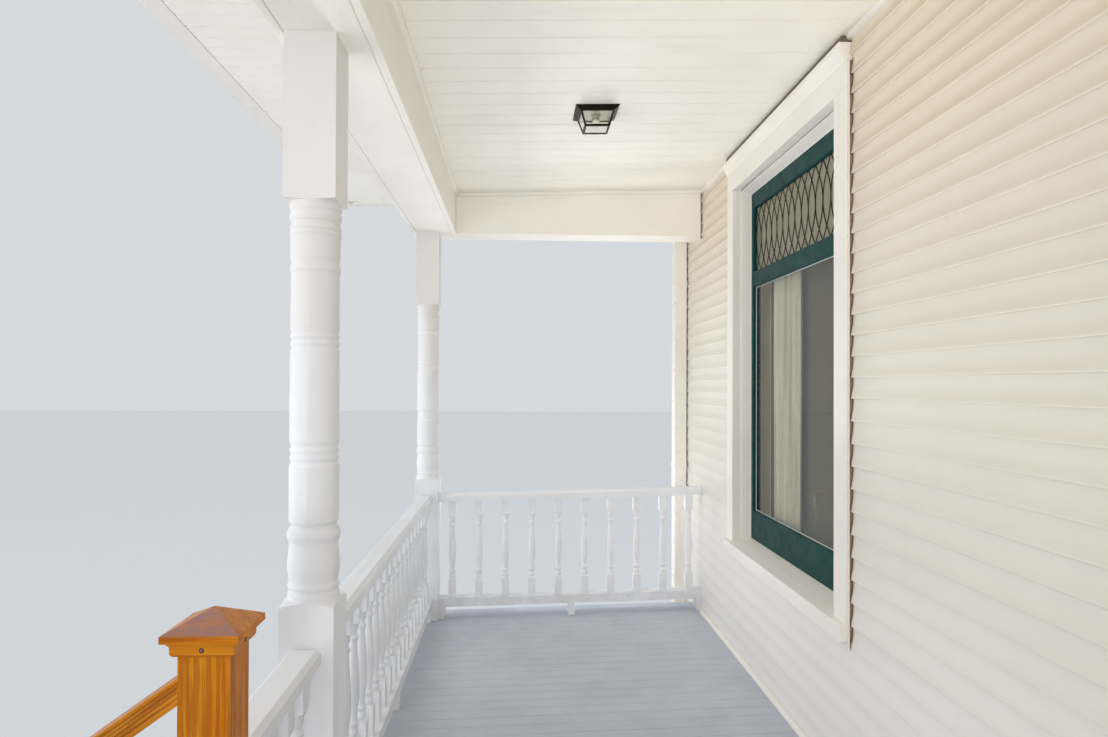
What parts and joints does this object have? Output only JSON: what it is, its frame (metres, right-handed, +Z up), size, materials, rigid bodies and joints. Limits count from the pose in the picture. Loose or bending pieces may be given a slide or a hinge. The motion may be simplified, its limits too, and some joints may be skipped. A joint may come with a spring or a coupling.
{
  "type": "covered front porch",
  "caption": "Covered front porch with turned posts, baluster railings, board floor, low hip roof, short stair and the house wall slice with windows and door behind it.",
  "frame": {"origin": "ground level under the middle of the porch's box: half way along its length and half way between the stair's front edge and the back of the house wall", "axes": "+X along the porch to the right as seen from the street, +Y toward the house, +Z up"},
  "size_m": [8.995, 2.841, 4.3502],
  "materials": {
    "masonry": "rough cast concrete",
    "siding": "satin, narrow laps",
    "white_trim": "satin",
    "white_paint": "painted, semi-gloss",
    "teal_paint": "painted, semi-gloss",
    "window_glass": "clear",
    "framing": "rough sawn",
    "grey_floor_paint": "painted, satin, worn",
    "gutter_metal": "baked enamel",
    "shingles": "mineral grit",
    "stained_pine": "oiled, orange-brown",
    "dark_bronze": "satin"
  },
  "bodies": {
    "root": {"house_foundation": "masonry", "left_wall": "siding", "entry_wall": "siding", "right_wall": "siding", "corner_boards": "white_trim", "window_frames": "white_paint", "window_sashes": "teal_paint", "door_frame": "white_paint", "front_door": "teal_paint", "glazing": "window_glass", "porch_piers": "masonry", "floor_girders": "framing", "floor_joists": "framing", "front_rim_board": "white_paint", "end_rim_boards": "white_paint", "floor_boards": "grey_floor_paint", "front_skirting": "white_paint", "end_skirting": "white_paint", "turned_posts": "white_paint", "front_beam": "white_paint", "end_beams": "white_paint", "ceiling": "white_trim", "ceiling_trim": "white_paint", "front_soffit": "white_trim", "end_soffits": "white_trim", "front_fascia": "white_paint", "end_fascias": "white_paint", "front_gutter": "gutter_metal", "end_gutters": "gutter_metal", "downspouts": "gutter_metal", "front_roof_slope": "shingles", "end_roof_slopes": "shingles", "left_railing": "white_paint", "right_railing": "white_paint", "left_short_railing": "white_paint", "right_short_railing": "white_paint", "left_end_railing": "white_paint", "right_end_railing": "white_paint", "stair_stringers": "white_paint", "stair_treads": "grey_floor_paint", "stair_risers": "white_paint", "newels": "stained_pine", "stair_handrails": "stained_pine", "lantern_frames": "dark_bronze", "lantern_glass": "window_glass"}
  },
  "joints": []
}
